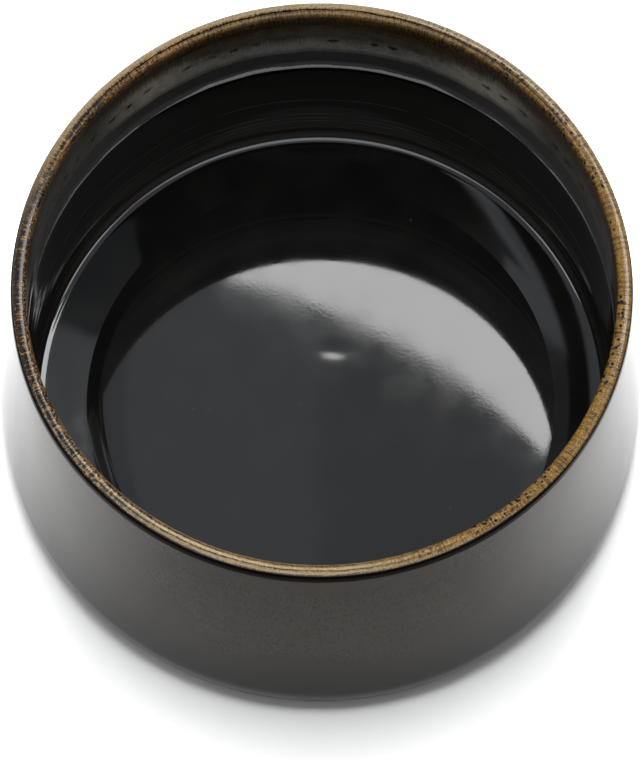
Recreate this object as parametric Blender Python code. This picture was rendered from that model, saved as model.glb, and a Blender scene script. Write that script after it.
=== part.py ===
"""Pottery bowl: a thrown stoneware body and the glaze coats fired onto it.

Every piece is turned about Z, and the bowl stands on its foot ring at z = 0. The finished surface, over the glaze,
is drawn as one section of tangent arcs and bowed walls. A coat is the space between that section and the same section
one glaze thickness deeper, and the clay starts a clearance under the coat.
"""
import math

import bmesh
import bpy

# Outside, over the glaze (metres)
HEIGHT = 0.0810
RIM_DIAMETER = 0.1400
BELLY_DIAMETER = 0.1500
BELLY_HEIGHT = 0.0115
BELLY_ROUND = 0.0260
WALL_BOW = 0.00028

# Lip, wall and floor
LIP_THICKNESS = 0.0035
WALL_FOOT_THICKNESS = 0.0072
INNER_CORNER = 0.0030
FLOOR_HEIGHT = 0.0058
FLOOR_DISC_DIAMETER = 0.1106
CROWN_HEIGHT = 0.00045
CROWN_POWER = 6
COVE_ROUND = 0.1000
COVE_TILT = math.radians(4.6)

# Bare clay foot ring and the recess inside it
FOOT_WIDTH = 0.0060
FOOT_OUTER_EDGE = 0.0025
FOOT_INNER_EDGE = 0.0008
RECESS_HEIGHT = 0.0014
RECESS_BARE_WIDTH = 0.0016

# Glaze coats: thickness, clearances, and where each one ends
GLAZE_THICKNESS = 0.0006
SEAT_CLEARANCE = 0.0003
COAT_CLEARANCE = 0.0003
RIM_COAT_INSIDE = 0.0062
RIM_COAT_OUTSIDE = 0.0030
BAND_COAT_DEPTH = 0.0342
FOOT_LINE_HEIGHT = 0.0021

# Facets
TURN_STEPS = 64
CROWN_FACETS = 5
COVE_FACETS = 3
CORNER_FACETS = 5
WALL_FACETS = 3
LIP_FACETS = 6
BELLY_FACETS = 4
EDGE_FACETS = 3

# Centres of the arcs that the section is drawn with, as radius and height, and where the cove turns into the corner
CLAY_DEPTH = GLAZE_THICKNESS + SEAT_CLEARANCE
LIP_ROUND = LIP_THICKNESS / 2
LIP_CENTRE = (RIM_DIAMETER / 2 - LIP_ROUND, HEIGHT - LIP_ROUND)
BELLY_CENTRE = (BELLY_DIAMETER / 2 - BELLY_ROUND, BELLY_HEIGHT)
DISC_RADIUS = FLOOR_DISC_DIAMETER / 2
CORNER_RADIUS = BELLY_DIAMETER / 2 - WALL_FOOT_THICKNESS - INNER_CORNER
COVE_CENTRE = (DISC_RADIUS - COVE_ROUND * math.sin(COVE_TILT), FLOOR_HEIGHT + COVE_ROUND * math.cos(COVE_TILT))
CORNER_TILT = math.asin((CORNER_RADIUS - COVE_CENTRE[0]) / (COVE_ROUND - INNER_CORNER))
CORNER_CENTRE = (CORNER_RADIUS, COVE_CENTRE[1] - (COVE_ROUND - INNER_CORNER) * math.cos(CORNER_TILT))


def polar(centre, radius, angle):
    return centre[0] + radius * math.cos(angle), centre[1] + radius * math.sin(angle)


def arc(centre, radius, start, end, facets):
    return [polar(centre, radius, start + (end - start) * i / facets) for i in range(facets + 1)]


def wall_lean(low, high, reach):
    """Tilt of the normal of the line that touches two circles whose radii along that normal differ by reach."""
    across = high[0] - low[0]
    up = high[1] - low[1]
    return math.atan2(up, across) - math.acos(reach / math.hypot(across, up))


OUTER_LEAN = wall_lean(BELLY_CENTRE, LIP_CENTRE, BELLY_ROUND - LIP_ROUND)
INNER_LEAN = wall_lean(CORNER_CENTRE, LIP_CENTRE, INNER_CORNER + LIP_ROUND)
BOW_TILT = 4 * WALL_BOW / (LIP_CENTRE[1] - BELLY_CENTRE[1])


def wall(low, high, lean, bottom, top, facets):
    """Points up a wall from low to high between two heights, bowed outward along its normal."""
    points = []
    for i in range(facets + 1):
        z = bottom + (top - bottom) * i / facets
        share = (z - low[1]) / (high[1] - low[1])
        bow = 4 * WALL_BOW * share * (1 - share)
        r = low[0] + (high[0] - low[0]) * share + bow * math.cos(lean)
        points.append((r, z))
    return points


def inner_wall(depth, bottom, top, facets=WALL_FACETS):
    low = polar(CORNER_CENTRE, INNER_CORNER + depth, INNER_LEAN)
    high = polar(LIP_CENTRE, depth - LIP_ROUND, INNER_LEAN)
    bottom = low[1] if bottom is None else bottom
    top = high[1] if top is None else top
    return wall(low, high, INNER_LEAN, bottom, top, facets)


def outer_wall(depth, bottom, top, facets=WALL_FACETS):
    low = polar(BELLY_CENTRE, BELLY_ROUND - depth, OUTER_LEAN)
    high = polar(LIP_CENTRE, LIP_ROUND - depth, OUTER_LEAN)
    bottom = low[1] if bottom is None else bottom
    top = high[1] if top is None else top
    return wall(low, high, OUTER_LEAN, bottom, top, facets)


def floor_and_corner(depth):
    """From the floor's crown down to the groove round it, up the cove and round the corner to the inner wall."""
    crown = []
    for i in range(CROWN_FACETS):
        share = 1 - (1 - i / CROWN_FACETS) ** 2
        tilt = math.atan(CROWN_POWER * CROWN_HEIGHT / DISC_RADIUS * share ** (CROWN_POWER - 1))
        crown.append((DISC_RADIUS * share - depth * math.sin(tilt),
                      FLOOR_HEIGHT + CROWN_HEIGHT * (1 - share ** CROWN_POWER) - depth * math.cos(tilt)))
    upright = math.pi / 2
    cove = arc(COVE_CENTRE, COVE_ROUND + depth, COVE_TILT - upright, CORNER_TILT - upright, COVE_FACETS)
    corner = arc(CORNER_CENTRE, INNER_CORNER + depth, CORNER_TILT - upright, INNER_LEAN - BOW_TILT, CORNER_FACETS)
    return crown + cove[:-1] + corner


def lip(depth):
    """Over the lip, from its inner side to its outer side."""
    start = math.pi + INNER_LEAN + BOW_TILT
    return arc(LIP_CENTRE, LIP_ROUND - depth, start, OUTER_LEAN + BOW_TILT, LIP_FACETS)


def belly(depth, end):
    """Round the widest place, from the foot of the outer wall down to an angle below level."""
    return arc(BELLY_CENTRE, BELLY_ROUND - depth, OUTER_LEAN - BOW_TILT, -end, BELLY_FACETS)


def foot():
    """From the end of the belly round the foot ring and into the recess, with the angle at which the belly ends."""
    reach = BELLY_ROUND - CLAY_DEPTH - FOOT_OUTER_EDGE
    drop = BELLY_HEIGHT - FOOT_OUTER_EDGE
    across = math.sqrt(reach ** 2 - drop ** 2)
    end = math.atan2(drop, across)
    stand_r = BELLY_CENTRE[0] + across
    inner_r = stand_r - FOOT_WIDTH
    outer_edge = arc((stand_r, FOOT_OUTER_EDGE), FOOT_OUTER_EDGE, -end, -math.pi / 2, EDGE_FACETS)
    inner_edge = arc((inner_r, FOOT_INNER_EDGE), FOOT_INNER_EDGE, -math.pi / 2, -math.pi, EDGE_FACETS)
    recess_r = inner_r - FOOT_INNER_EDGE
    recess = [(recess_r, RECESS_HEIGHT), (0.0, RECESS_HEIGHT)]
    return outer_edge[1:] + inner_edge + recess, end, recess_r


def clay_section():
    foot_points, belly_end, _ = foot()
    inside = floor_and_corner(CLAY_DEPTH) + inner_wall(CLAY_DEPTH, None, None)[1:-1]
    outside = outer_wall(CLAY_DEPTH, None, None)[-2:0:-1] + belly(CLAY_DEPTH, belly_end)
    return inside + lip(CLAY_DEPTH) + outside + foot_points


def coat_section(stretch):
    """A coat's section: its finished side, and back along the side that faces the clay."""
    return stretch(0.0) + stretch(GLAZE_THICKNESS)[::-1]


def liner_stretch(depth):
    top = HEIGHT - BAND_COAT_DEPTH
    return floor_and_corner(depth) + inner_wall(depth, None, top)[1:]


def band_stretch(depth):
    bottom = HEIGHT - BAND_COAT_DEPTH + COAT_CLEARANCE
    top = HEIGHT - RIM_COAT_INSIDE - COAT_CLEARANCE
    return inner_wall(depth, bottom, top)


def rim_stretch(depth):
    inside = inner_wall(depth, HEIGHT - RIM_COAT_INSIDE, None, 1)[:1]
    outside = outer_wall(depth, HEIGHT - RIM_COAT_OUTSIDE, None, 1)[:1]
    return inside + lip(depth) + outside


def outer_stretch(depth):
    top = HEIGHT - RIM_COAT_OUTSIDE - COAT_CLEARANCE
    end = math.asin((BELLY_HEIGHT - FOOT_LINE_HEIGHT) / BELLY_ROUND)
    return outer_wall(depth, None, top)[:0:-1] + belly(depth, end)


def underside_section():
    """A flat disc of glaze under the floor, clear of the bare ring at the edge of the recess."""
    _, _, recess_r = foot()
    edge_r = recess_r - RECESS_BARE_WIDTH
    top = RECESS_HEIGHT - SEAT_CLEARANCE
    bottom = top - GLAZE_THICKNESS
    return [(0.0, top), (edge_r - GLAZE_THICKNESS / 2, top), (edge_r, top - GLAZE_THICKNESS / 2),
            (edge_r - GLAZE_THICKNESS / 2, bottom), (0.0, bottom)]


def make_material(name, colour, roughness):
    material = bpy.data.materials.new(name)
    material.use_nodes = True
    shader = material.node_tree.nodes["Principled BSDF"]
    shader.inputs["Base Color"].default_value = (*colour, 1.0)
    shader.inputs["Roughness"].default_value = roughness
    shader.inputs["Metallic"].default_value = 0.0
    return material


def turn(name, section, material):
    """A closed solid turned about Z from a section given as radius and height."""
    bm = bmesh.new()
    verts = [bm.verts.new((r, 0.0, z)) for r, z in section]
    edges = [bm.edges.new(pair) for pair in zip(verts, verts[1:])]
    if section[0][0] > 0:
        edges.append(bm.edges.new((verts[-1], verts[0])))
    bmesh.ops.spin(bm, geom=verts + edges, axis=(0, 0, 1), cent=(0, 0, 0), angle=2 * math.pi, steps=TURN_STEPS,
                   use_merge=True)
    bmesh.ops.remove_doubles(bm, verts=bm.verts[:], dist=0.00001)
    bmesh.ops.recalc_face_normals(bm, faces=bm.faces[:])
    mesh = bpy.data.meshes.new(name)
    bm.to_mesh(mesh)
    bm.free()
    mesh.shade_smooth()
    mesh.set_sharp_from_angle(angle=math.radians(35))
    mesh.materials.append(material)
    piece = bpy.data.objects.new(name, mesh)
    bpy.context.scene.collection.objects.link(piece)
    return piece


def main():
    for old in list(bpy.data.objects):
        bpy.data.objects.remove(old, do_unlink=True)

    stoneware = make_material("Bare stoneware", (0.36, 0.27, 0.19), 0.85)
    black = make_material("Black gloss glaze", (0.006, 0.006, 0.007), 0.06)
    olive = make_material("Olive glaze", (0.060, 0.054, 0.036), 0.18)
    amber = make_material("Amber iron glaze", (0.260, 0.170, 0.065), 0.16)
    taupe = make_material("Warm grey satin glaze", (0.062, 0.056, 0.048), 0.38)
    underside = make_material("Warm grey underside glaze", (0.070, 0.064, 0.055), 0.40)

    body = turn("clay_body", clay_section(), stoneware)
    coats = [turn("liner_glaze", coat_section(liner_stretch), black),
             turn("band_glaze", coat_section(band_stretch), olive),
             turn("rim_glaze", coat_section(rim_stretch), amber),
             turn("outer_glaze", coat_section(outer_stretch), taupe),
             turn("underside_glaze", underside_section(), underside)]
    for coat in coats:
        coat.parent = body


main()
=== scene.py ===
"""Looks of the pottery bowl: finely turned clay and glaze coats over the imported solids, with studio light and camera.

Lengths are in metres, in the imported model's frame: Z is the turning axis and the bowl stands on z = 0.
"""
import math

import bmesh
import bpy
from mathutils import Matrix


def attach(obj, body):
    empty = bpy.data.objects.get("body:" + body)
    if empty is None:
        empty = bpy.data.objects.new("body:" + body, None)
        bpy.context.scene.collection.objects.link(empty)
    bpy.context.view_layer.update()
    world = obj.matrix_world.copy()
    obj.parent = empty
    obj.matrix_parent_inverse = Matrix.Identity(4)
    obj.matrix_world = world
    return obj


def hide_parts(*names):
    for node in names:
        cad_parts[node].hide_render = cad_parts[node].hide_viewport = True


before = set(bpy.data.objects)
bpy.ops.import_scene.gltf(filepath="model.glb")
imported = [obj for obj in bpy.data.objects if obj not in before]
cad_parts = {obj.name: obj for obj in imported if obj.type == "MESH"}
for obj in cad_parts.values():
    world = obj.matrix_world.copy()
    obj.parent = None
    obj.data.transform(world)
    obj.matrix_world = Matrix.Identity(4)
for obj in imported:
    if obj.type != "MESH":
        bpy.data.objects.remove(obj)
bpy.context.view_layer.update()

MM = 0.001

# The finished surface, over the glaze
HEIGHT = 0.0810
RIM_DIAMETER = 0.1400
BELLY_DIAMETER = 0.1500
BELLY_HEIGHT = 0.0115
BELLY_ROUND = 0.0260
WALL_BOW = 0.00028
LIP_THICKNESS = 0.0035
WALL_FOOT_THICKNESS = 0.0072
INNER_CORNER = 0.0030
FLOOR_HEIGHT = 0.0058
FLOOR_DISC_DIAMETER = 0.1106
CROWN_HEIGHT = 0.00045
CROWN_POWER = 6
COVE_ROUND = 0.1000
COVE_TILT = math.radians(4.6)

# Bare foot ring and the recess inside it
FOOT_WIDTH = 0.0060
FOOT_OUTER_EDGE = 0.0025
FOOT_INNER_EDGE = 0.0008
RECESS_HEIGHT = 0.0014
RECESS_BARE_WIDTH = 0.0016

# Glaze coats
GLAZE_THICKNESS = 0.0006
SEAT_CLEARANCE = 0.0003
RIM_COAT_INSIDE = 0.0062
RIM_COAT_OUTSIDE = 0.0030
BAND_COAT_DEPTH = 0.0342
FOOT_LINE_HEIGHT = 0.0021

# What the hand left: throwing rings as height, width, lift and phase, the heights of thin pale lines painted as the
# faint highlights of throwing lines, the bead where the band ends, and in the floor, which is what lies below its edge,
# the deeper groove at the left and a hollow
THROWING_RINGS = [(0.0165, 0.7 * MM, 0.014 * MM, 0.3), (0.0195, 0.6 * MM, 0.010 * MM, 1.9),
                  (0.0225, 0.8 * MM, 0.014 * MM, 3.1), (0.0265, 0.9 * MM, 0.012 * MM, 4.4),
                  (0.0335, 1.2 * MM, 0.012 * MM, 5.2)]
THROWING_LINE_GLINTS = (0.0120, 0.0158, 0.0176, 0.0201, 0.0289)
BEAD_HEIGHT = HEIGHT - 0.0309
BEAD_LIFT = 0.55 * MM
BEAD_RUN = 2.4 * MM
BEAD_FRONT = 0.9 * MM
FLOOR_EDGE = 7.2 * MM
GROOVE_SAG = 0.45 * MM
GROOVE_FLANK = 3.5 * MM
DENT_PLACE = (3.3 * MM, 12.6 * MM)
DENT_SIZE = (3.6 * MM, 1.9 * MM)
DENT_DEPTH = 0.030 * MM

# Dark smudges in the band, all the way round
SPOT_COUNT = 75
SPOT_DEPTH = 14.5 * MM

# Spacing of the points along the sections: fine where it shows, coarse where it is hidden
SEGMENTS = 192
FLOOR_STEP = 0.5 * MM
CORNER_STEP = 0.15 * MM
WALL_STEP = 0.25 * MM
WALL_BEAD_STEP = 0.12 * MM
BAND_STEP = 0.9 * MM
BAND_BEAD_STEP = 0.15 * MM
RIM_STEP = 0.22 * MM
OUTSIDE_STEP = 1.0 * MM
FOOT_STEP = 0.5 * MM
CLAY_LIP_STEP = 0.5 * MM
CLAY_BELLY_STEP = 1.0 * MM
HIDDEN_FLOOR_STEP = 10 * MM
HIDDEN_CORNER_STEP = 2 * MM
HIDDEN_WALL_STEP = 8 * MM
HIDDEN_RIM_STEP = 1.5 * MM
HIDDEN_OUTSIDE_STEP = 6 * MM
BEAD_BELOW = 1.2 * MM
BEAD_ABOVE = 3.6 * MM
UNDERSIDE_BEVEL = 0.3 * MM
BURNT_EDGE = 0.70
SHARP_ANGLE = math.radians(40)
ON_AXIS = 1e-6

# Refractive indices, lowered where the photograph's reflections are weaker than those of a plain glaze
GLAZE_IOR = 1.5
WALL_IOR = 1.08
BAND_IOR = 1.25
RIM_IOR = 1.36
BURNT_IOR = 1.04
OUTSIDE_IOR = 1.125

# Lamps that face down. The key light's near edge runs through a point in a direction, and its parts are given as start
# and end along that edge and depth. Boxes are given as left, right and near edge, panels as left and right edge, fronts
# as near edge and radiance, and the rest by place and size.
LAMP_HEIGHT = 0.9
KEY_EDGE = ((0.017, 0.3695), (0.894, -0.447))
KEY_PARTS = {"core": (-0.07, 0.082, 0.50), "middle": (0.082, 0.115, 0.09), "end": (0.115, 0.142, 0.060),
             "tip": (0.142, 0.168, 0.040)}
KEY_RADIANCE = 9.7
KEY_BOXES = ((0.238, 0.70, 0.235), (0.70, 0.95, 0.115), (0.95, 1.35, 0.17))
KEY_BOX_FAR = 0.7
KEY_BOX_RADIANCE = 10.0
PANELS = ((-0.115, -0.06), (-0.115, 0.00), (0.14, 0.40))
PANEL_PLACE = (0.31, LAMP_HEIGHT + 0.02)
PANEL_DEPTH = 0.26
PANEL_RADIANCE = 0.20
PANEL_COLOUR = (0.92, 1.0, 1.08)
FRONTS = ((-0.60, 2.6), (-0.66, 3.2), (-0.74, 3.2))
FRONT_FAR = -2.2
FRONT_WIDTH = 2.6
WING_PLACE = (1.3, -0.225)
WING_SIZE = (0.8, 0.55)
WING_RADIANCE = 4.2
SIDE_PLACE = (1.1, 0.0)
SIDE_SIZE = (0.6, 0.9)
SIDE_RADIANCE = 1.0
UPPER_HEIGHT = LAMP_HEIGHT + 0.04
TOP_Y = 0.45
TOP_SIZE = (1.4, 0.6)
TOP_RADIANCE = 1.2
OVERHEAD_Y = 0.03
OVERHEAD_SIZE = 0.36
OVERHEAD_RADIANCE = 13.5

# The sky and the dark gaps in it that the floor of the bowl mirrors: left, right, near and far, in slopes from upright
SKY = 0.72
GLOW = 1.02
SKY_COLOUR = (0.95, 1.0, 1.05)
DIFFUSE_SKY = 0.12
GAP_LEVEL = 0.01
GAP = (-0.150, 0.215, -0.38, 0.262)
SIDE_GAPS = [(-0.30, -0.14, -0.42, 0.05), (0.125, 0.310, 0.10, 0.290), (0.20, 0.33, -0.38, 0.12),
             (-0.290, -0.200, 0.08, 0.45), (-0.290, -0.112, 0.335, 0.45)]
GLOW_AREA = (-0.30, 0.32, -0.52, 0.14)
LOWEST_SKY = 0.02
GAP_SOFT = 0.02
SIDE_GAP_SOFT = 0.012
GLOW_SOFT = 0.06

# The ground: its colour for the light it gives, and as it is seen near the middle and off to the sides, where it is
# painted brighter so that the outside of the bowl mirrors more light
GROUND_REACH = 3.0
GROUND_COLOUR = 0.95
FLOOR_GAIN = 1.66
SIDE_GAIN = 2.9
SIDE_START = 50 * MM
SIDE_END = 100 * MM

# The camera fitted to the photograph
LENS_MM = 282.67
SENSOR_MM = 36.0
CAMERA_PLACE = (0.0, -0.50599, 1.34701)
CAMERA_TILT = math.radians(20.808)
CAMERA_CLIP = (0.01, 20.0)

CLAY_DEPTH = GLAZE_THICKNESS + SEAT_CLEARANCE
LIP_ROUND = LIP_THICKNESS / 2
LIP_CENTRE = (RIM_DIAMETER / 2 - LIP_ROUND, HEIGHT - LIP_ROUND)
BELLY_CENTRE = (BELLY_DIAMETER / 2 - BELLY_ROUND, BELLY_HEIGHT)
DISC_RADIUS = FLOOR_DISC_DIAMETER / 2
CORNER_RADIUS = BELLY_DIAMETER / 2 - WALL_FOOT_THICKNESS - INNER_CORNER
COVE_CENTRE = (DISC_RADIUS - COVE_ROUND * math.sin(COVE_TILT), FLOOR_HEIGHT + COVE_ROUND * math.cos(COVE_TILT))
CORNER_TILT = math.asin((CORNER_RADIUS - COVE_CENTRE[0]) / (COVE_ROUND - INNER_CORNER))
CORNER_CENTRE = (CORNER_RADIUS, COVE_CENTRE[1] - (COVE_ROUND - INNER_CORNER) * math.cos(CORNER_TILT))
BAND_FOOT = HEIGHT - BAND_COAT_DEPTH
RIM_FOOT = HEIGHT - RIM_COAT_INSIDE
RIM_SKIRT = HEIGHT - RIM_COAT_OUTSIDE


def smooth(value, low, high):
    share = min(1.0, max(0.0, (value - low) / (high - low)))
    return share * share * (3 - 2 * share)


def hump(value, middle, width):
    return math.exp(-((value - middle) / width) ** 2)


def steps(length, spacing):
    return max(1, round(abs(length) / spacing))


def polar(centre, radius, angle):
    return centre[0] + radius * math.cos(angle), centre[1] + radius * math.sin(angle)


def arc(centre, radius, start, end, spacing):
    count = steps((end - start) * radius, spacing)
    return [polar(centre, radius, start + (end - start) * i / count) for i in range(count + 1)]


def wall_lean(low, high, reach):
    """Tilt of the normal of the line that touches two circles whose radii along that normal differ by reach."""
    across = high[0] - low[0]
    up = high[1] - low[1]
    return math.atan2(up, across) - math.acos(reach / math.hypot(across, up))


OUTER_LEAN = wall_lean(BELLY_CENTRE, LIP_CENTRE, BELLY_ROUND - LIP_ROUND)
INNER_LEAN = wall_lean(CORNER_CENTRE, LIP_CENTRE, INNER_CORNER + LIP_ROUND)
BOW_TILT = 4 * WALL_BOW / (LIP_CENTRE[1] - BELLY_CENTRE[1])


def wall(low, high, lean, bottom, top, spacing):
    """Points up a wall between two heights, bowed outward along its normal."""
    bottom = low[1] if bottom is None else bottom
    top = high[1] if top is None else top
    count = steps(top - bottom, spacing)
    points = []
    for i in range(count + 1):
        z = bottom + (top - bottom) * i / count
        share = (z - low[1]) / (high[1] - low[1])
        bow = 4 * WALL_BOW * share * (1 - share)
        points.append((low[0] + (high[0] - low[0]) * share + bow * math.cos(lean), z))
    return points


def inner_wall(depth, bottom, top, spacing):
    low = polar(CORNER_CENTRE, INNER_CORNER + depth, INNER_LEAN)
    high = polar(LIP_CENTRE, depth - LIP_ROUND, INNER_LEAN)
    return wall(low, high, INNER_LEAN, bottom, top, spacing)


def outer_wall(depth, bottom, top, spacing):
    low = polar(BELLY_CENTRE, BELLY_ROUND - depth, OUTER_LEAN)
    high = polar(LIP_CENTRE, LIP_ROUND - depth, OUTER_LEAN)
    return wall(low, high, OUTER_LEAN, bottom, top, spacing)


def floor_and_corner(depth, spacing, corner_spacing):
    """From the floor's crown down to the groove round it, up the cove and round the corner to the inner wall."""
    count = steps(DISC_RADIUS, spacing)
    crown = []
    for i in range(count):
        share = i / count
        tilt = math.atan(CROWN_POWER * CROWN_HEIGHT / DISC_RADIUS * share ** (CROWN_POWER - 1))
        crown.append((DISC_RADIUS * share - depth * math.sin(tilt),
                      FLOOR_HEIGHT + CROWN_HEIGHT * (1 - share ** CROWN_POWER) - depth * math.cos(tilt)))
    upright = math.pi / 2
    cove = arc(COVE_CENTRE, COVE_ROUND + depth, COVE_TILT - upright, CORNER_TILT - upright, spacing)
    corner = arc(CORNER_CENTRE, INNER_CORNER + depth, CORNER_TILT - upright, INNER_LEAN - BOW_TILT, corner_spacing)
    return crown + cove[:-1] + corner


def lip(depth, spacing):
    return arc(LIP_CENTRE, LIP_ROUND - depth, math.pi + INNER_LEAN + BOW_TILT, OUTER_LEAN + BOW_TILT, spacing)


def belly(depth, end, spacing):
    return arc(BELLY_CENTRE, BELLY_ROUND - depth, OUTER_LEAN - BOW_TILT, -end, spacing)


def foot(spacing):
    """From the end of the clay's belly round the foot ring into the recess, and the angle where the belly ends."""
    reach = BELLY_ROUND - CLAY_DEPTH - FOOT_OUTER_EDGE
    drop = BELLY_HEIGHT - FOOT_OUTER_EDGE
    across = math.sqrt(reach ** 2 - drop ** 2)
    end = math.atan2(drop, across)
    stand_r = BELLY_CENTRE[0] + across
    inner_r = stand_r - FOOT_WIDTH
    recess_r = inner_r - FOOT_INNER_EDGE
    outer_edge = arc((stand_r, FOOT_OUTER_EDGE), FOOT_OUTER_EDGE, -end, -math.pi / 2, spacing)
    inner_edge = arc((inner_r, FOOT_INNER_EDGE), FOOT_INNER_EDGE, -math.pi / 2, -math.pi, spacing)
    recess = [(recess_r, RECESS_HEIGHT), (0.0, RECESS_HEIGHT)]
    return outer_edge[1:] + inner_edge + recess, end, recess_r


def thrown(r, z, angle):
    """Out of round and uneven in height towards the lip, true at the foot."""
    rise = smooth(z, 0.012, HEIGHT)
    r -= 0.04 * MM * (1 - rise)
    r += rise * MM * (0.225 * math.cos(angle) - 0.21 * math.sin(angle) + 0.0875 * math.cos(2 * angle)
                      + 0.05 * math.cos(3 * angle + 0.6) + 0.03 * math.sin(7 * angle + 1.1) - 0.1125)
    z += rise * MM * (0.07 * math.sin(2 * angle + 0.9) + 0.04 * math.sin(5 * angle + 2.0) - 0.12)
    return r, z


def inner_relief(z, angle):
    """How far the inside stands proud of the true section: throwing rings, and the bead where the band ends."""
    proud = 0.0
    for height, width, lift, phase in THROWING_RINGS:
        middle = height + 0.25 * MM * math.sin(angle + phase)
        proud += lift * hump(z, middle, width) * (0.75 + 0.25 * math.sin(2 * angle + 3 * phase))
    wave = math.sin(9 * angle + 0.4) + 0.7 * math.sin(23 * angle + 1.7) + 0.5 * math.sin(41 * angle)
    peak = BEAD_HEIGHT + 0.15 * MM * wave
    flank = BEAD_RUN if z > peak else BEAD_FRONT
    near = min(1.0, abs(z - peak) / flank)
    full = 0.12 + 0.88 * smooth(math.sin(angle), 0.25, 0.75)
    proud += full * (BEAD_LIFT + 0.04 * MM * wave) * (1 + math.cos(math.pi * near)) / 2
    return proud


def cove_sag(r, angle):
    """How far the left of the cove stands below its true arc: straight from a deeper groove up to the corner."""
    left = smooth(-math.cos(angle), 0.45, 0.85)
    if not left or r > CORNER_RADIUS:
        return 0.0
    if r < DISC_RADIUS:
        return left * GROOVE_SAG * smooth(r, DISC_RADIUS - GROOVE_FLANK, DISC_RADIUS)
    arc_z = COVE_CENTRE[1] - math.sqrt(COVE_ROUND ** 2 - (r - COVE_CENTRE[0]) ** 2)
    top_z = COVE_CENTRE[1] - math.sqrt(COVE_ROUND ** 2 - (CORNER_RADIUS - COVE_CENTRE[0]) ** 2)
    share = (r - DISC_RADIUS) / (CORNER_RADIUS - DISC_RADIUS)
    low_z = FLOOR_HEIGHT - GROOVE_SAG
    return left * (arc_z - low_z - (top_z - low_z) * share)


def dent(x, y):
    """How far the floor sinks at the small hollow near its middle."""
    return DENT_DEPTH * hump(x, DENT_PLACE[0], DENT_SIZE[0]) * hump(y, DENT_PLACE[1], DENT_SIZE[1])


def piece(name, rows, materials, nodes, creases=()):
    """A closed solid turned about Z from rows of radius, height, relief and skin, standing for CAD nodes."""
    mesh = bpy.data.meshes.new(name)
    bm = bmesh.new()
    rings = []
    for r, z, relief, _ in rows:
        if r < ON_AXIS:
            rings.append([bm.verts.new((0.0, 0.0, z))] * SEGMENTS)
            continue
        ring = []
        for i in range(SEGMENTS):
            angle = 2 * math.pi * i / SEGMENTS
            radius, height = thrown(r, z, angle)
            if relief:
                radius, height = relief(radius, height, z, angle)
            ring.append(bm.verts.new((radius * math.cos(angle), radius * math.sin(angle), height)))
        rings.append(ring)
    pairs = list(zip(rings, rings[1:], rows))
    if rows[0][0] > ON_AXIS:
        pairs.append((rings[-1], rings[0], rows[-1]))
    for low, high, row in pairs:
        for i in range(SEGMENTS):
            j = (i + 1) % SEGMENTS
            corners = list(dict.fromkeys((low[i], low[j], high[j], high[i])))
            if len(corners) > 2:
                bm.faces.new(corners).material_index = row[3]
    bmesh.ops.recalc_face_normals(bm, faces=bm.faces[:])
    bm.to_mesh(mesh)
    bm.free()
    mesh.shade_smooth()
    mesh.set_sharp_from_angle(angle=SHARP_ANGLE)
    sharp = mesh.attributes.get("sharp_edge") or mesh.attributes.new("sharp_edge", "BOOLEAN", "EDGE")
    for ring in creases:
        for edge in mesh.edges:
            if ring[0] <= min(edge.vertices) and max(edge.vertices) < ring[1]:
                sharp.data[edge.index].value = True
    for material in materials:
        mesh.materials.append(material)
    made = bpy.data.objects.new(name, mesh)
    bpy.context.scene.collection.objects.link(made)
    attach(made, "root")
    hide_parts(*nodes)
    return made


def with_relief(points, relief=None, skin=0):
    return [(r, z, relief, skin) for r, z in points]


def inside_relief(radius, height, z, angle):
    height -= dent(radius * math.cos(angle), radius * math.sin(angle))
    if z < FLOOR_EDGE:
        height -= cove_sag(radius, angle)
        return radius, height
    return radius - inner_relief(z, angle), height


class Nodes:
    """The shader nodes of a material or of the sky."""

    def __init__(self, tree):
        self.tree = tree

    def feed(self, socket, value):
        if isinstance(value, bpy.types.NodeSocket):
            self.tree.links.new(value, socket)
        elif hasattr(value, "__len__") and len(value) == 3 and socket.type == "RGBA":
            socket.default_value = (*value, 1.0)
        else:
            socket.default_value = value

    def node(self, kind, inputs=None, output=0, **settings):
        made = self.tree.nodes.new(kind)
        for key, value in settings.items():
            setattr(made, key, value)
        for key, value in (inputs or {}).items():
            self.feed(made.inputs[key], value)
        return made if output is None else made.outputs[output]

    def maths(self, operation, a, b=0.0):
        return self.node("ShaderNodeMath", {0: a, 1: b}, operation=operation)

    def span(self, value, low, high, to_low=0.0, to_high=1.0):
        """A smooth step between two values, as the value goes from low to high."""
        inputs = {"Value": value, "From Min": low, "From Max": high, "To Min": to_low, "To Max": to_high}
        return self.node("ShaderNodeMapRange", inputs, interpolation_type="SMOOTHSTEP", clamp=True)

    def swing(self, value, amount):
        """How far a value between 0 and 1 lies from its middle, times an amount."""
        return self.maths("MULTIPLY", self.maths("SUBTRACT", value, 0.5), amount)

    def times(self, *values):
        product = values[0]
        for value in values[1:]:
            product = self.maths("MULTIPLY", product, value)
        return product

    def split(self, vector):
        made = self.tree.nodes.new("ShaderNodeSeparateXYZ")
        self.feed(made.inputs[0], vector)
        return made.outputs

    def length(self, x, y):
        return self.maths("SQRT", self.maths("ADD", self.maths("MULTIPLY", x, x), self.maths("MULTIPLY", y, y)))


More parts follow.
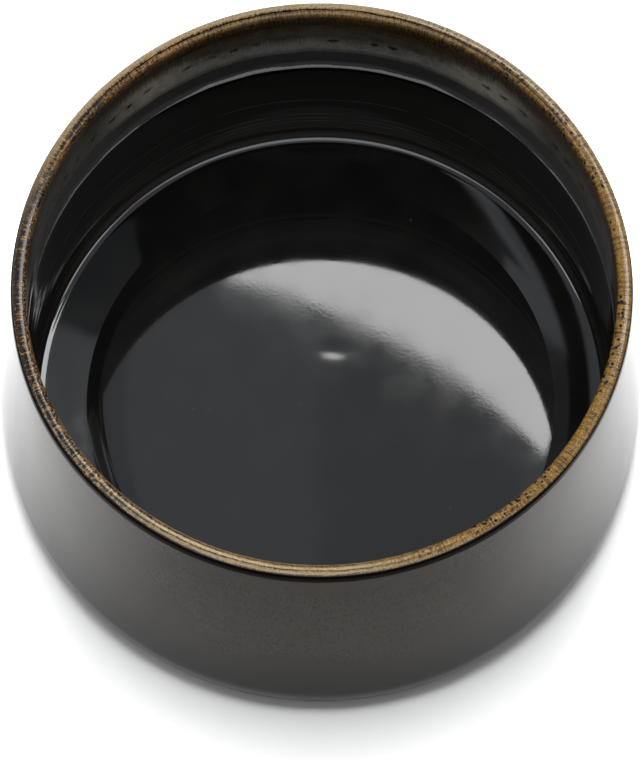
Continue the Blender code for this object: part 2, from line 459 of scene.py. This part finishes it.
class Graph(Nodes):
    """The shader nodes of one glaze or clay."""

    def __init__(self, name):
        self.material = bpy.data.materials.new(name)
        self.material.use_nodes = True
        super().__init__(self.material.node_tree)
        self.shader = self.tree.nodes["Principled BSDF"]
        self.place = self.node("ShaderNodeTexCoord", output="Object")
        x, y, self.z = self.split(self.place)
        self.r = self.length(x, y)
        self.side = self.maths("DIVIDE", x, self.r)
        self.back = self.maths("DIVIDE", y, self.r)

    def noise(self, size, detail=3.0, roughness=0.55, place=None):
        """Noise with features of about that size in metres."""
        inputs = {"Vector": place or self.place, "Scale": 1.0 / size, "Detail": detail, "Roughness": roughness}
        return self.node("ShaderNodeTexNoise", inputs)

    def cells(self, size):
        """Distance to the nearest of points scattered about that far apart, as a share of it."""
        return self.node("ShaderNodeTexVoronoi", {"Vector": self.place, "Scale": 1.0 / size})

    def mix(self, share, a, b, blend="MIX"):
        made = self.tree.nodes.new("ShaderNodeMix")
        made.data_type = "RGBA"
        made.blend_type = blend
        for key, value in ((0, share), (6, a), (7, b)):
            self.feed(made.inputs[key], value)
        return made.outputs[2]

    def shade(self, share, colour, shade):
        """The colour times a shade, by a share."""
        return self.mix(share, colour, self.mix(1.0, colour, shade, "MULTIPLY"))

    def stretched(self, around, up):
        """Coordinates that run by angle, scaled to a length along the rim, and by height."""
        radius = RIM_DIAMETER / 2
        return self.node("ShaderNodeCombineXYZ", {0: self.maths("MULTIPLY", self.side, radius / around),
                                                  1: self.maths("MULTIPLY", self.back, radius / around),
                                                  2: self.maths("MULTIPLY", self.z, 1.0 / up)})

    def spots(self, depth, fine):
        """A row of dark smudges round the band, at even steps that the hand left a little uneven."""
        turn = self.maths("MULTIPLY", self.maths("ARCTAN2", self.back, self.side), SPOT_COUNT / (2 * math.pi))
        cell = self.maths("FLOOR", turn)
        odd = self.node("ShaderNodeTexWhiteNoise", {"W": cell}, noise_dimensions="1D")
        high = self.node("ShaderNodeTexWhiteNoise", {"W": self.maths("ADD", cell, 0.5)}, noise_dimensions="1D")
        jitter = self.swing(odd, 0.55)
        lift = self.swing(high, 2.6 * MM)
        smear = self.noise(1.3 * MM, 3.0, 0.6)
        across = self.maths("SUBTRACT", self.maths("SUBTRACT", turn, cell), self.maths("ADD", 0.5, jitter))
        down = self.maths("SUBTRACT", depth, self.maths("ADD", SPOT_DEPTH, lift))
        apart = self.length(self.maths("DIVIDE", across, 0.24), self.maths("DIVIDE", down, 1.0 * MM))
        apart = self.maths("ADD", apart, self.swing(fine, 1.8))
        apart = self.maths("ADD", apart, self.swing(smear, 2.6))
        return self.times(self.span(apart, 1.3, 0.4), self.span(high, 0.1, 0.7, 0.15, 0.9))

    def bump(self, height, distance, normal=None):
        inputs = {"Height": height, "Distance": distance, "Strength": 1.0}
        if normal is not None:
            inputs["Normal"] = normal
        return self.node("ShaderNodeBump", inputs)

    def finish(self, **inputs):
        for key, value in inputs.items():
            self.feed(self.shader.inputs[key.replace("_", " ")], value)
        return self.material


def black_gloss(name, ior):
    g = Graph(name)
    black, warm_black = (0.0042, 0.0042, 0.0044), (0.0064, 0.0060, 0.0054)
    speck_pale, painted_sheen, painted_line_glint = (0.16, 0.15, 0.13), (0.050, 0.046, 0.042), (0.170, 0.158, 0.142)
    cloud = g.noise(9 * MM, 4.0)
    colour = g.mix(g.span(cloud, 0.35, 0.7), black, warm_black)
    rare = g.span(g.noise(5 * MM, 2.0), 0.60, 0.66)
    colour = g.mix(g.times(g.span(g.cells(2.6 * MM), 0.060, 0.030), rare), colour, speck_pale)
    # Painted sheen: the lower wall above the corner is painted lighter, most at the back, as a reflection of light.
    low = g.times(g.span(g.z, 7.4 * MM, 8.6 * MM), g.span(g.z, 30 * MM, 14 * MM, 0.75, 1.0))
    colour = g.mix(g.times(low, g.span(g.back, 0.3, 0.8, 0.3, 1.0)), colour, painted_sheen)
    # Pale lines painted at the throwing lines' heights, as their faint highlights.
    wobble = g.maths("ADD", g.z, g.swing(g.noise(22 * MM, 2.0), 1.6 * MM))
    for height in THROWING_LINE_GLINTS:
        line = g.span(g.maths("ABSOLUTE", g.maths("SUBTRACT", wobble, height)), 0.26 * MM, 0.05 * MM, 0.0, 0.9)
        colour = g.mix(g.times(line, g.span(cloud, 0.3, 0.6)), colour, painted_line_glint)
    peel = g.bump(g.noise(0.9 * MM, 2.0, 0.5), 1.1e-6)
    grain = g.bump(g.noise(0.35 * MM, 1.0, 0.5), 0.8e-6, peel)
    return g.finish(Base_Color=colour, Roughness=g.span(cloud, 0.3, 0.7, 0.035, 0.06), IOR=ior, Normal=grain)


def olive_band():
    """From the lip down: gold runs, brown, umber, grey with smudges, painted lighter towards the sides and darker at
    the far sides, two dim steps, the pale tide line painted as the bead's highlight, black.
    """
    g = Graph("Olive glaze")
    gold, brown, umber = (0.38, 0.245, 0.090), (0.135, 0.088, 0.040), (0.175, 0.150, 0.112)
    grey, grey_painted_lit, grey_painted_shade = (0.52, 0.50, 0.455), (0.82, 0.75, 0.62), (0.19, 0.17, 0.14)
    dim, painted_tide_highlight, black = (0.096, 0.096, 0.092), (0.62, 0.62, 0.60), (0.010, 0.010, 0.0095)
    smudge, step_shade = (0.012, 0.010, 0.008), (0.62, 0.62, 0.62)
    fine_shade, blotch_shade = (0.45, 0.42, 0.38), (0.50, 0.46, 0.40)
    depth = g.maths("SUBTRACT", HEIGHT, g.z)
    sag = g.noise(1.0, 3.0, place=g.stretched(9 * MM, 30 * MM))
    run = g.noise(1.0, 3.0, 0.6, place=g.stretched(0.5 * MM, 6 * MM))
    fine = g.noise(0.45 * MM, 4.0, 0.7)
    blotch = g.noise(4 * MM, 4.0, 0.65)
    wander = g.swing(sag, 5.0 * MM)
    level = g.maths("ADD", depth, wander)
    ragged = g.maths("ADD", level, g.swing(run, 6.0 * MM))
    colour = g.mix(g.span(ragged, 3.6 * MM, 6.2 * MM), gold, brown)
    colour = g.mix(g.span(ragged, 7.0 * MM, 11.0 * MM), colour, umber)
    # Painted light: the grey is painted lighter towards the sides, where more light falls, and painted shade darkens it
    # at the far sides.
    aside = g.maths("ABSOLUTE", g.side)
    beside = g.span(aside, 0.30, 0.62)
    start = g.maths("SUBTRACT", 12.5 * MM, g.maths("MULTIPLY", beside, 5.0 * MM))
    below = g.span(g.maths("SUBTRACT", ragged, start), 0.0, 6.0 * MM)
    greys = g.mix(g.span(aside, 0.58, 0.80), g.mix(beside, grey, grey_painted_lit), grey_painted_shade)
    colour = g.mix(below, colour, greys)
    colour = g.shade(g.times(g.span(fine, 0.35, 0.65), 0.45), colour, fine_shade)
    colour = g.shade(g.times(g.span(blotch, 0.42, 0.66), 0.55), colour, blotch_shade)
    colour = g.mix(g.spots(depth, fine), colour, smudge)
    ripple = g.maths("ADD", depth, g.maths("MULTIPLY", wander, 0.34))
    colour = g.shade(g.span(ripple, 20.3 * MM, 20.7 * MM), colour, step_shade)
    colour = g.mix(g.span(ripple, 21.7 * MM, 22.9 * MM), colour, dim)
    # The pale tide line is painted as the highlight along the bead where the band ends.
    tide = g.maths("ADD", ripple, g.swing(run, 0.5 * MM))
    tide_start = g.maths("SUBTRACT", tide, g.maths("MULTIPLY", beside, 0.55 * MM))
    colour = g.mix(g.span(tide_start, 29.7 * MM, 30.0 * MM), colour, painted_tide_highlight)
    colour = g.mix(g.span(tide, 30.9 * MM, 31.3 * MM), colour, black)
    rough = g.span(level, 20 * MM, 24 * MM, 0.15, 0.06)
    return g.finish(Base_Color=colour, Roughness=rough, IOR=BAND_IOR, Normal=g.bump(fine, 1.6e-6))


def amber_rim(name, ior):
    """Across runs from -1 at the inner side of the lip to 1 at its outer side."""
    g = Graph(name)
    gold, gold_left, rear_highlight_tan, painted_highlight_cream = (0.26, 0.150, 0.040), (0.40, 0.21, 0.065), (0.40, 0.30, 0.170), (0.46, 0.36, 0.20)
    brown, brown_left, black = (0.045, 0.020, 0.008), (0.014, 0.007, 0.004), (0.006, 0.0028, 0.0015)
    gold_right, brown_right, tick_brown = (0.46, 0.265, 0.055), (0.13, 0.062, 0.014), (0.050, 0.023, 0.008)
    pepper_shade, run_brown, fringe_brown = (0.25, 0.17, 0.10), (0.060, 0.040, 0.020), (0.035, 0.020, 0.008)
    highlight_lines = ((-0.20, 0.30), (0.36, 0.24), (-0.82, 0.10))
    across = g.maths("DIVIDE", g.maths("SUBTRACT", g.r, LIP_CENTRE[0]), LIP_ROUND)
    drop = g.maths("SUBTRACT", HEIGHT, g.z)
    fleck = g.noise(1.0, 3.0, 0.7, place=g.stretched(0.55 * MM, 0.34 * MM))
    thread = g.noise(1.0, 2.0, 0.6, place=g.stretched(6 * MM, 0.30 * MM))
    tick = g.noise(1.0, 3.0, 0.6, place=g.stretched(0.4 * MM, 2.2 * MM))
    fine = g.noise(0.28 * MM, 3.0, 0.75)
    patch = g.noise(9 * MM, 2.0, 0.5)
    left = g.span(g.side, -0.2, -0.7)
    right = g.span(g.side, 0.1, 0.5)
    rear = g.span(g.back, 0.1, 0.7)

    # Gold flecks on burnt brown, and at the back tan painted on the outer half of the lip as a highlight
    warm = g.maths("ADD", g.maths("MULTIPLY", g.side, 0.10), g.swing(patch, 0.30))
    share = g.maths("ADD", fleck, g.maths("SUBTRACT", warm, g.maths("MULTIPLY", across, 0.06)))
    colour = g.mix(g.span(share, 0.44, 0.54), g.mix(left, brown, brown_left), g.mix(left, gold, gold_left))
    colour = g.mix(g.times(rear, g.span(across, -0.35, 0.0)), colour, rear_highlight_tan)

    # Pale lines painted along the lip as highlights, strongest at the front, and a dark line at the back
    ring = g.maths("ADD", across, g.swing(thread, 0.35))
    front = g.span(g.back, -0.3, -0.9, 0.12, 1.0)
    broken = g.maths("MAXIMUM", g.span(fleck, 0.42, 0.58), g.span(g.back, -0.6, -0.95))
    shown = g.times(broken, front, g.maths("SUBTRACT", 1.0, rear))
    for middle, half in highlight_lines:
        line = g.span(g.maths("ABSOLUTE", g.maths("SUBTRACT", ring, middle)), half, half * 0.45)
        colour = g.mix(g.times(line, shown), colour, painted_highlight_cream)
    colour = g.shade(g.span(fine, 0.50, 0.60, 0.0, 0.85), colour, pepper_shade)
    line = g.span(g.maths("ABSOLUTE", g.maths("ADD", ring, 0.48)), 0.12, 0.04)
    colour = g.mix(g.times(line, rear), colour, black)

    # The right: more gold, with ticks and dark spots
    golden = g.times(right, g.span(g.back, 0.75, 0.35, 0.0, 0.75))
    colour = g.mix(golden, colour, g.mix(g.span(fine, 0.42, 0.58), gold_right, brown_right))
    colour = g.mix(g.times(right, g.span(tick, 0.50, 0.62, 0.0, 0.80)), colour, tick_brown)
    spot = g.maths("ADD", g.cells(1.1 * MM), g.swing(fine, 0.5))
    where = g.times(g.span(patch, 0.44, 0.56), g.span(across, 0.75, 0.25), right)
    colour = g.mix(g.times(g.span(spot, 0.42, 0.28), where), colour, black)

    # The burnt outer edge, narrower at the back and at the right, and the runs on the inner side
    narrow = g.maths("MAXIMUM", g.span(g.back, 0.2, 0.7, 0.0, 0.6), g.span(g.side, 0.55, 0.85, 0.0, 0.30))
    edge = g.maths("SUBTRACT", g.maths("ADD", across, g.swing(fine, 0.4)), narrow)
    colour = g.mix(g.span(edge, 0.56, 0.76), colour, black)
    inner = g.times(g.span(drop, 2.0 * MM, 5.0 * MM), g.maths("LESS_THAN", g.r, LIP_CENTRE[0]))
    colour = g.mix(g.times(inner, g.span(fleck, 0.3, 0.6)), colour, run_brown)
    fringe = g.times(rear, g.span(across, -0.45, -0.60))
    dark = g.span(g.maths("ADD", tick, fleck), 0.98, 1.12, 0.0, 0.85)
    colour = g.mix(g.times(fringe, dark), colour, fringe_brown)
    rough = g.span(fleck, 0.3, 0.7, 0.10, 0.20)
    return g.finish(Base_Color=colour, Roughness=rough, IOR=ior, Normal=g.bump(fine, 4e-6))


def grey_satin(name):
    g = Graph(name)
    olive, grey = (0.025, 0.0165, 0.0045), (0.033, 0.0240, 0.0100)
    pit_shade, painted_shade_black = (0.35, 0.30, 0.25), (0.004, 0.0042, 0.0040)
    scorch, speck_black = (0.036, 0.019, 0.010), (0.004, 0.0035, 0.003)
    cloud = g.noise(14 * MM, 4.0, 0.55)
    grain = g.noise(0.9 * MM, 3.0, 0.6)
    pitted = g.noise(0.45 * MM, 2.0, 0.7)
    colour = g.mix(g.span(cloud, 0.3, 0.7), olive, grey)
    colour = g.shade(g.span(pitted, 0.50, 0.66, 0.0, 0.8), colour, pit_shade)
    # Painted shade: the glaze is darkened towards the bottom, as the shadowed ground mirrored in the lower belly.
    colour = g.mix(g.span(g.z, 38 * MM, 14 * MM, 0.0, 0.75), colour, painted_shade_black)
    scorched = g.span(g.maths("ADD", g.z, g.maths("MULTIPLY", cloud, 6 * MM)), HEIGHT - 10 * MM, HEIGHT - 1 * MM)
    colour = g.mix(g.times(scorched, 0.7), colour, scorch)
    speck = g.times(g.span(g.cells(1.6 * MM), 0.24, 0.14), g.span(grain, 0.45, 0.6))
    colour = g.mix(speck, colour, speck_black)
    rough = g.span(cloud, 0.3, 0.7, 0.06, 0.09)
    return g.finish(Base_Color=colour, Roughness=rough, IOR=OUTSIDE_IOR, Normal=g.bump(grain, 1.5e-6))


def stoneware():
    g = Graph("Bare stoneware")
    buff, pale_buff, grog_brown = (0.30, 0.22, 0.15), (0.40, 0.31, 0.22), (0.13, 0.085, 0.055)
    grain = g.noise(0.5 * MM, 4.0, 0.7)
    colour = g.mix(g.span(grain, 0.3, 0.7), buff, pale_buff)
    colour = g.mix(g.span(g.cells(1.1 * MM), 0.26, 0.16, 0.0, 0.7), colour, grog_brown)
    return g.finish(Base_Color=colour, Roughness=0.85, Normal=g.bump(grain, 60e-6))


def hidden_inside(depth):
    """The floor and corner of a surface that nothing shows."""
    return floor_and_corner(depth, HIDDEN_FLOOR_STEP, HIDDEN_CORNER_STEP)


def rim_side(depth, spacing):
    return (inner_wall(depth, RIM_FOOT, None, spacing)[:-1] + lip(depth, spacing)
            + outer_wall(depth, RIM_SKIRT, None, spacing)[-2::-1])


def outer_side(depth, spacing):
    end = math.asin((BELLY_HEIGHT - FOOT_LINE_HEIGHT) / BELLY_ROUND)
    return outer_wall(depth, None, RIM_SKIRT, spacing)[:0:-1] + belly(depth, end, spacing)


def build_pieces():
    foot_points, belly_end, recess_r = foot(FOOT_STEP)
    inside = hidden_inside(CLAY_DEPTH) + inner_wall(CLAY_DEPTH, None, None, HIDDEN_WALL_STEP)[1:-1]
    outside = outer_wall(CLAY_DEPTH, None, None, HIDDEN_WALL_STEP)[-2:0:-1]
    outside += belly(CLAY_DEPTH, belly_end, CLAY_BELLY_STEP)
    clay = inside + lip(CLAY_DEPTH, CLAY_LIP_STEP) + outside + foot_points
    piece("clay", with_relief(clay), [stoneware()], ["clay_body"])

    deep = GLAZE_THICKNESS
    bead_low = BAND_FOOT - BEAD_BELOW
    bottom = floor_and_corner(0.0, FLOOR_STEP, CORNER_STEP)
    side = inner_wall(0.0, None, bead_low, WALL_STEP) + inner_wall(0.0, bead_low, BAND_FOOT, WALL_BEAD_STEP)[1:]
    back = hidden_inside(deep) + inner_wall(deep, None, BAND_FOOT, HIDDEN_WALL_STEP)[1:]
    rows = with_relief(bottom[:-1], inside_relief) + with_relief(side, inside_relief, 1)
    groove = steps(DISC_RADIUS, FLOOR_STEP)
    piece("liner", rows + with_relief(back[::-1], None, 1),
          [black_gloss("Black gloss glaze", GLAZE_IOR), black_gloss("Black wall glaze", WALL_IOR)],
          ["liner_glaze"], [(1 + (groove - 1) * SEGMENTS, 1 + groove * SEGMENTS)])

    bead_high = BAND_FOOT + BEAD_ABOVE
    front = inner_wall(0.0, BAND_FOOT, bead_high, BAND_BEAD_STEP) + inner_wall(0.0, bead_high, RIM_FOOT, BAND_STEP)[1:]
    back = inner_wall(deep, BAND_FOOT, RIM_FOOT, HIDDEN_WALL_STEP)
    piece("band", with_relief(front, inside_relief) + with_relief(back[::-1]), [olive_band()],
          ["band_glaze"])

    edge_r = LIP_CENTRE[0] + BURNT_EDGE * LIP_ROUND
    front = [(r, z, None, int(r > edge_r)) for r, z in rim_side(0.0, RIM_STEP)]
    piece("rim", front + with_relief(rim_side(deep, HIDDEN_RIM_STEP)[::-1], None, 1),
          [amber_rim("Amber iron glaze", RIM_IOR), amber_rim("Burnt rim edge glaze", BURNT_IOR)],
          ["rim_glaze"])

    back = outer_side(deep, HIDDEN_OUTSIDE_STEP)
    piece("outside", with_relief(outer_side(0.0, OUTSIDE_STEP)) + with_relief(back[::-1]),
          [grey_satin("Warm grey satin glaze")], ["outer_glaze"])

    edge_r = recess_r - RECESS_BARE_WIDTH
    bevel_r = edge_r - UNDERSIDE_BEVEL
    top = RECESS_HEIGHT - SEAT_CLEARANCE
    disc = [(0.0, top), (bevel_r, top), (edge_r, top - UNDERSIDE_BEVEL), (bevel_r, top - deep), (0.0, top - deep)]
    piece("underside", with_relief(disc), [grey_satin("Warm grey underside glaze")],
          ["underside_glaze"])


def softbox(name, place, width, depth, gloss, fill, turn=0.0, colour=(1.0, 1.0, 1.0)):
    """A rectangular lamp that faces down, with one radiance for the gloss of the glaze and one for its colour."""
    for part, radiance in (("gloss", gloss), ("fill", fill)):
        if not radiance:
            continue
        data = bpy.data.lights.new(f"{name}_{part}", "AREA")
        data.shape = "RECTANGLE"
        data.size = width
        data.size_y = depth
        data.color = colour
        data.energy = radiance * math.pi * width * depth
        lamp = bpy.data.objects.new(f"{name}_{part}", data)
        lamp.location = place
        lamp.rotation_euler = (0.0, 0.0, turn)
        lamp.visible_camera = False
        lamp.visible_glossy = part == "gloss"
        lamp.visible_diffuse = part == "fill"
        bpy.context.scene.collection.objects.link(lamp)


def softbox_along(name, through, along, start, end, depth, gloss):
    """A lamp whose near edge runs in a direction through a point, from one distance along it to another."""
    middle = (start + end) / 2
    place = (through[0] + along[0] * middle - along[1] * depth / 2,
             through[1] + along[1] * middle + along[0] * depth / 2, LAMP_HEIGHT)
    softbox(name, place, end - start, depth, gloss, 0.0, math.atan2(along[1], along[0]))


def make_lights():
    for part, (start, end, depth) in KEY_PARTS.items():
        softbox_along(f"key_{part}", *KEY_EDGE, start, end, depth, KEY_RADIANCE)
    for i, (left, right, near) in enumerate(KEY_BOXES):
        place = ((left + right) / 2, (near + KEY_BOX_FAR) / 2, LAMP_HEIGHT)
        softbox(f"key_{i}", place, right - left, KEY_BOX_FAR - near, KEY_BOX_RADIANCE, 0.0)
    for i, (left, right) in enumerate(PANELS):
        softbox(f"panel_{i}", ((left + right) / 2, *PANEL_PLACE), right - left, PANEL_DEPTH, PANEL_RADIANCE, 0.0,
                colour=PANEL_COLOUR)
    for i, (near, radiance) in enumerate(FRONTS):
        place = (0.0, (near + FRONT_FAR) / 2, LAMP_HEIGHT)
        softbox(f"front_{i}", place, FRONT_WIDTH, near - FRONT_FAR, radiance, 0.0)
    for side in (-1, 1):
        softbox(f"wing_{side + 1}", (WING_PLACE[0] * side, WING_PLACE[1], LAMP_HEIGHT), *WING_SIZE, WING_RADIANCE, 0.0)
        softbox(f"side_{side + 1}", (SIDE_PLACE[0] * side, SIDE_PLACE[1], LAMP_HEIGHT), *SIDE_SIZE, 0.0, SIDE_RADIANCE)
    softbox("top", (0.0, TOP_Y, UPPER_HEIGHT), *TOP_SIZE, 0.0, TOP_RADIANCE)
    softbox("overhead", (0.0, OVERHEAD_Y, UPPER_HEIGHT), OVERHEAD_SIZE, OVERHEAD_SIZE, 0.0, OVERHEAD_RADIANCE)


def outside(n, x, y, area, soft):
    """0 inside an area of the sky and 1 outside, with a soft edge."""
    left, right, near, far = area
    across = n.maths("SUBTRACT", n.maths("ABSOLUTE", n.maths("SUBTRACT", x, (left + right) / 2)), (right - left) / 2)
    ahead = n.maths("SUBTRACT", n.maths("ABSOLUTE", n.maths("SUBTRACT", y, (near + far) / 2)), (far - near) / 2)
    return n.span(n.maths("MAXIMUM", across, ahead), -soft, soft)


def seen(n):
    """1 for rays that show a surface to the camera, also through gloss or glass, and 0 for those that light it."""
    rays = [n.node("ShaderNodeLightPath", output=f"Is {kind} Ray") for kind in ("Camera", "Glossy", "Transmission")]
    return n.maths("MINIMUM", n.maths("ADD", n.maths("ADD", rays[0], rays[1]), rays[2]), 1.0)


def make_stage():
    """A pale ground that is seen whiter than it lights, and a sky whose pattern only shows in the gloss."""
    mesh = bpy.data.meshes.new("floor")
    reach = GROUND_REACH
    mesh.from_pydata([(-reach, -reach, 0), (reach, -reach, 0), (reach, reach, 0), (-reach, reach, 0)], [],
                     [(0, 1, 2, 3)])
    material = bpy.data.materials.new("Studio floor")
    material.use_nodes = True
    material.node_tree.nodes.clear()
    n = Nodes(material.node_tree)
    aside = n.maths("ABSOLUTE", n.split(n.node("ShaderNodeTexCoord", output="Object"))[0])
    # Seen rays find the ground painted brighter off to the sides, a pool of light that the outside of the bowl mirrors.
    white = n.span(seen(n), 0.0, 1.0, GROUND_COLOUR, n.span(aside, SIDE_START, SIDE_END, FLOOR_GAIN, SIDE_GAIN))
    diffuse = n.node("ShaderNodeBsdfDiffuse", {"Color": white})
    n.node("ShaderNodeOutputMaterial", {"Surface": diffuse}, output=None)
    mesh.materials.append(material)
    floor = bpy.data.objects.new("floor", mesh)
    bpy.context.scene.collection.objects.link(floor)

    world = bpy.data.worlds.new("Studio")
    world.use_nodes = True
    bpy.context.scene.world = world
    world.node_tree.nodes.clear()
    n = Nodes(world.node_tree)
    x, y, z = n.split(n.node("ShaderNodeTexCoord", output="Generated"))
    up = n.maths("MAXIMUM", z, LOWEST_SKY)
    x = n.maths("DIVIDE", x, up)
    y = n.maths("DIVIDE", y, up)
    open_sky = outside(n, x, y, GAP, GAP_SOFT)
    for gap in SIDE_GAPS:
        open_sky = n.maths("MINIMUM", open_sky, outside(n, x, y, gap, SIDE_GAP_SOFT))
    bright = n.span(outside(n, x, y, GLOW_AREA, GLOW_SOFT), 0.0, 1.0, GLOW, SKY)
    shown = n.times(n.span(open_sky, 0.0, 1.0, GAP_LEVEL, 1.0), bright, seen(n))
    strength = n.maths("ADD", shown, n.span(seen(n), 0.0, 1.0, DIFFUSE_SKY, 0.0))
    sky = n.node("ShaderNodeBackground", {"Color": SKY_COLOUR, "Strength": strength})
    n.node("ShaderNodeOutputWorld", {"Surface": sky}, output=None)


def make_camera():
    data = bpy.data.cameras.new("camera")
    data.sensor_width = SENSOR_MM
    data.lens = LENS_MM
    data.clip_start, data.clip_end = CAMERA_CLIP
    camera = bpy.data.objects.new("camera", data)
    camera.location = CAMERA_PLACE
    camera.rotation_euler = (CAMERA_TILT, 0.0, 0.0)
    bpy.context.scene.collection.objects.link(camera)
    bpy.context.scene.camera = camera


build_pieces()
make_stage()
make_lights()
make_camera()
bpy.context.scene.view_settings.view_transform = "Standard"
